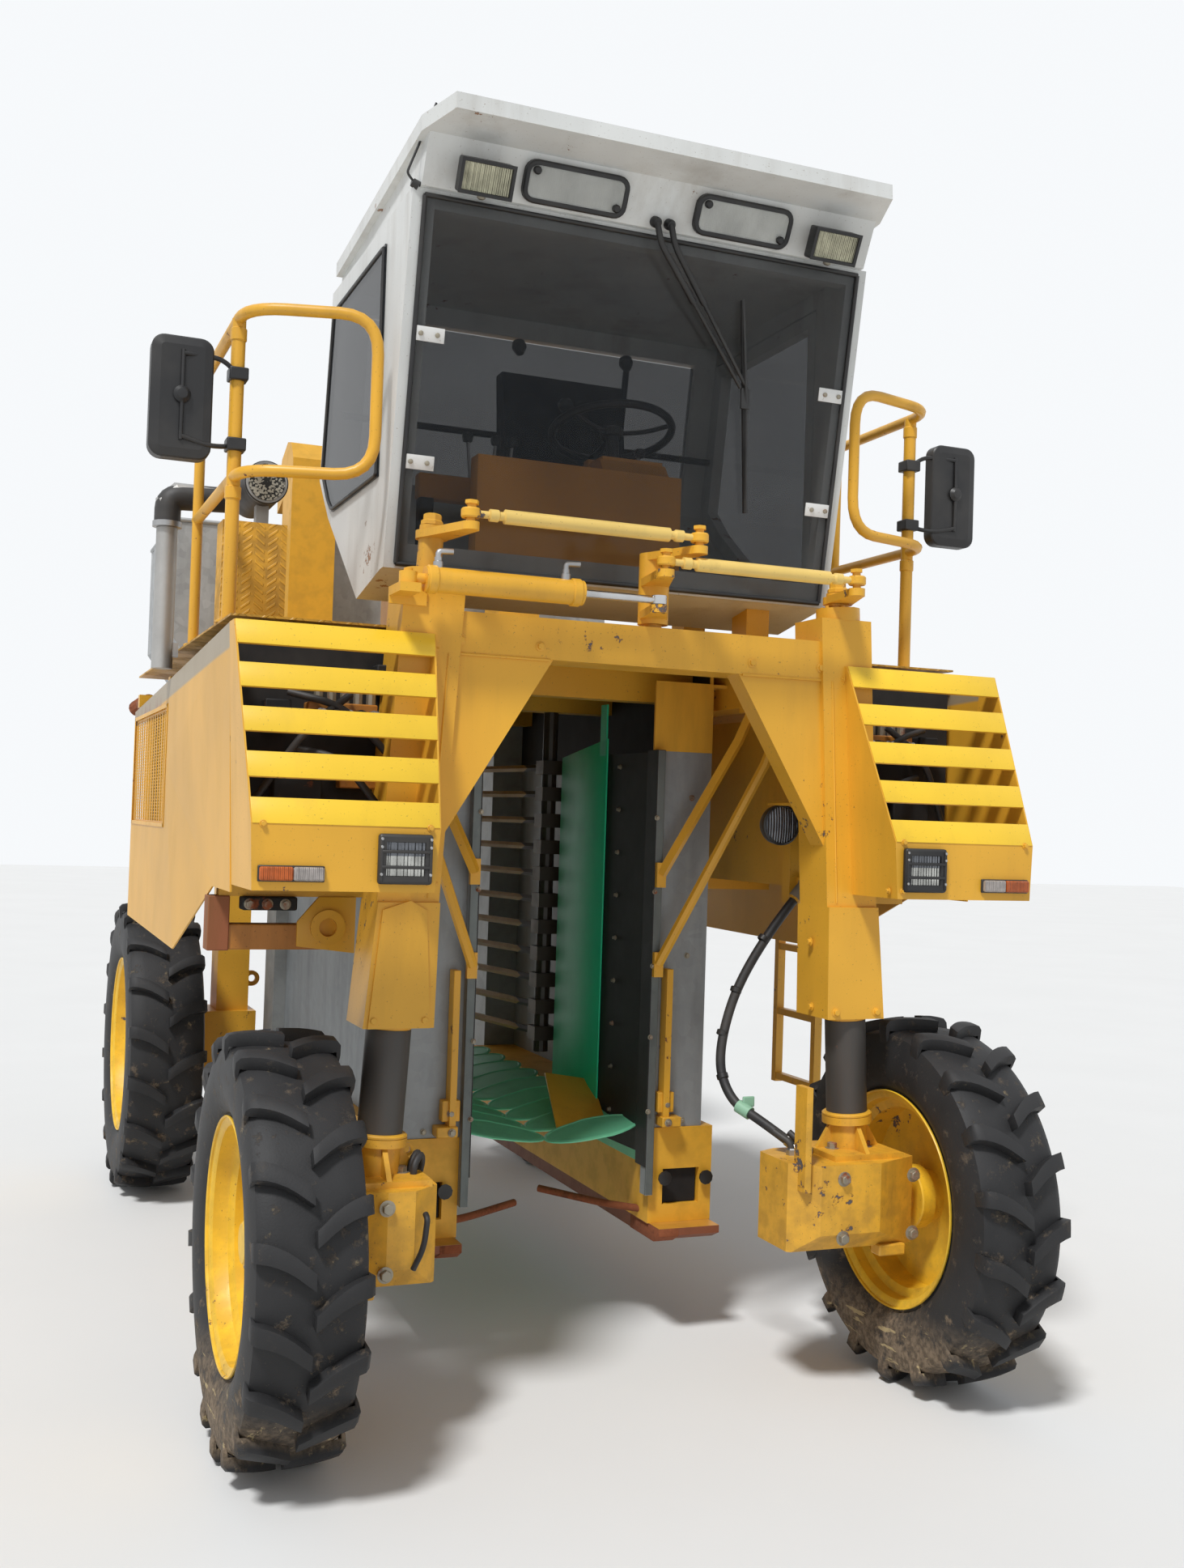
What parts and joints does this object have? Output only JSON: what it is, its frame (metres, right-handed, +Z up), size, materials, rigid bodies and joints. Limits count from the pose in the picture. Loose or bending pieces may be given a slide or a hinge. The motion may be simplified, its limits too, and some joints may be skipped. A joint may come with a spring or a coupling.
{
  "type": "self-propelled straddle grape harvester",
  "caption": "Tall yellow straddle grape harvester with a white cab over a row tunnel, shaker rods, louvred pods, steered front wheels and rear tipping hoppers.",
  "frame": {"origin": "middle of the footprint, on the ground", "axes": "+X to the right seen from the front, +Y to the rear, +Z up"},
  "size_m": [2.72, 4.2801, 3.5731],
  "materials": {
    "yellow": "semi-gloss, worn",
    "white": "semi-gloss",
    "cream": "semi-gloss",
    "shaker_yellow": "worn",
    "galvanised": "matt",
    "engine_iron": "oily",
    "chrome": "polished",
    "green_plastic": "matt",
    "black_plastic": "matt",
    "seat_fabric": "woven",
    "tyre_rubber": "dusty",
    "hose_rubber": "dusty",
    "glass": "clear"
  },
  "bodies": {
    "chassis": {"portal": "yellow", "main_frame": "yellow", "deck": "yellow", "pod_left": "yellow", "pod_right": "yellow", "side_cover_left": "yellow", "side_cover_right": "yellow", "cab_mounts": "yellow", "cab_shell": "white", "cab_roof": "white", "cab_glass": "glass", "seat": "seat_fabric", "console": "yellow", "steering_wheel": "black_plastic", "head_frame": "yellow", "head_sheets": "galvanised", "head_base": "yellow", "shaker_left": "shaker_yellow", "shaker_right": "shaker_yellow", "scale_plates": "green_plastic", "elevators": "yellow", "engine": "engine_iron", "tank": "galvanised", "ladder": "yellow", "handrail_left": "yellow", "handrail_right": "yellow", "rear_legs": "yellow", "outriggers": "yellow", "front_lamps": "black_plastic", "side_grilles": "yellow", "cab_vents": "black_plastic", "roof_lamps": "black_plastic", "wipers": "black_plastic", "screen_clips": "white", "head_braces": "yellow", "work_lamps": "black_plastic", "exhaust": "engine_iron", "air_intake": "galvanised", "step_box": "yellow", "mirrors": "black_plastic", "hose_right": "hose_rubber"},
    "steer_left": {"knuckle_left": "yellow"},
    "steer_right": {"knuckle_right": "yellow"},
    "bellcrank": {"bellcrank": "yellow"},
    "tie_rod_left": {"tie_rod_left": "cream"},
    "tie_rod_right": {"tie_rod_right": "cream"},
    "steer_barrel": {"steer_barrel": "yellow"},
    "steer_rod": {"steer_rod": "chrome"},
    "door": {"door_frame": "white", "door_glass": "glass"},
    "hopper_left": {"hopper_left": "galvanised"},
    "hopper_right": {"hopper_right": "galvanised"},
    "wheel_front_left": {"tyre_front_left": "tyre_rubber", "rim_front_left": "yellow"},
    "wheel_front_right": {"tyre_front_right": "tyre_rubber", "rim_front_right": "yellow"},
    "wheel_rear_left": {"tyre_rear_left": "tyre_rubber", "rim_rear_left": "yellow"},
    "wheel_rear_right": {"tyre_rear_right": "tyre_rubber", "rim_rear_right": "yellow"}
  },
  "joints": [
    {"name": "steer", "type": "hinge", "parent": "chassis", "child": "bellcrank", "pos_m": [0.03, -1.5875, 2.3], "axis": [0, 0, 1], "range_deg": [-30, 30]},
    {"name": "king_left", "type": "hinge", "parent": "chassis", "child": "steer_left", "pos_m": [-0.64, -1.5875, 2.4], "axis": [0.053, 0, 0.9986], "range_deg": [-30, 30]},
    {"name": "king_right", "type": "hinge", "parent": "chassis", "child": "steer_right", "pos_m": [0.64, -1.5875, 2.4], "axis": [-0.053, 0, 0.9986], "range_deg": [-30, 30]},
    {"name": "tie_left_pin", "type": "hinge", "parent": "bellcrank", "child": "tie_rod_left", "pos_m": [0.08, -1.7775, 2.465], "axis": [0, 0, 1], "range_deg": [-30, 30]},
    {"name": "tie_right_pin", "type": "hinge", "parent": "bellcrank", "child": "tie_rod_right", "pos_m": [-0.02, -1.7775, 2.391], "axis": [0, 0, 1], "range_deg": [-30, 30]},
    {"name": "barrel_pin", "type": "hinge", "parent": "chassis", "child": "steer_barrel", "pos_m": [-0.74, -1.7375, 2.292], "axis": [0, 0, 1], "range_deg": [-3, 3]},
    {"name": "piston", "type": "slide", "parent": "steer_barrel", "child": "steer_rod", "axis": [1, 0, 0], "range_m": [-0.08, 0.08]},
    {"name": "door_hinge", "type": "hinge", "parent": "chassis", "child": "door", "pos_m": [0.734, -1.3495, 2.88], "axis": [0, 0, -1], "range_deg": [0, 28]},
    {"name": "tip_left", "type": "hinge", "parent": "chassis", "child": "hopper_left", "pos_m": [-0.63, 2.0125, 2.218], "axis": [-1, 0, 0], "range_deg": [0, 55]},
    {"name": "tip_right", "type": "hinge", "parent": "chassis", "child": "hopper_right", "pos_m": [0.63, 2.0125, 2.218], "axis": [-1, 0, 0], "range_deg": [0, 55]},
    {"name": "roll_front_left", "type": "hinge", "parent": "steer_left", "child": "wheel_front_left", "pos_m": [-1, -1.5875, 0.55], "axis": [1, 0, 0], "continuous": true},
    {"name": "roll_front_right", "type": "hinge", "parent": "steer_right", "child": "wheel_front_right", "pos_m": [1, -1.5875, 0.55], "axis": [1, 0, 0], "continuous": true},
    {"name": "roll_rear_left", "type": "hinge", "parent": "chassis", "child": "wheel_rear_left", "pos_m": [-0.965, 1.5125, 0.625], "axis": [1, 0, 0], "continuous": true},
    {"name": "roll_rear_right", "type": "hinge", "parent": "chassis", "child": "wheel_rear_right", "pos_m": [0.965, 1.5125, 0.625], "axis": [1, 0, 0], "continuous": true}
  ],
  "couplings": [
    {"joint": "king_left", "follows": "steer", "ratio": 1},
    {"joint": "king_right", "follows": "steer", "ratio": 1},
    {"joint": "tie_left_pin", "follows": "steer", "ratio": -1},
    {"joint": "tie_right_pin", "follows": "steer", "ratio": -1},
    {"joint": "barrel_pin", "follows": "steer", "ratio": -0.06},
    {"joint": "piston", "follows": "steer", "m_per_rad": 0.15}
  ]
}
